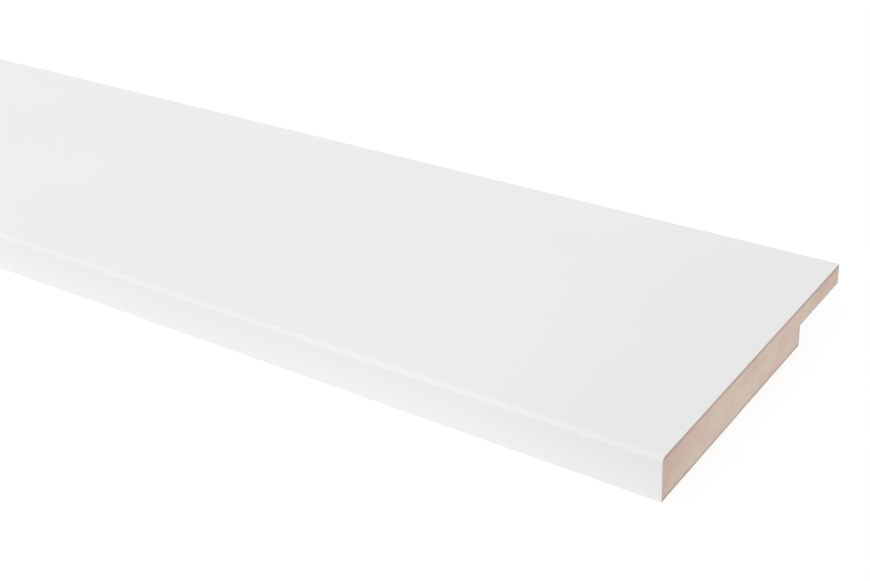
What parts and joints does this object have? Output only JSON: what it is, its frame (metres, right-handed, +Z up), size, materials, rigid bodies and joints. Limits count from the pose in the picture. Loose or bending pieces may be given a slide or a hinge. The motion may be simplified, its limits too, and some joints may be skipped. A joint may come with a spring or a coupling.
{
  "type": "window sill",
  "caption": "Long flat window sill board with a rounded top front edge, square sawn ends and a rebate under the back that leaves a thin tongue.",
  "frame": {"origin": "on the underside, midway along the board and midway between the front edge and the back of the tongue", "axes": "+X along the board, -Y towards the rounded front edge on the room side, +Y towards the tongue on the window side, +Z up through the board"},
  "size_m": [2.44, 0.21, 0.025],
  "materials": {
    "white_paint": "satin"
  },
  "bodies": {
    "root": {"sill_board": "white_paint"}
  },
  "joints": []
}
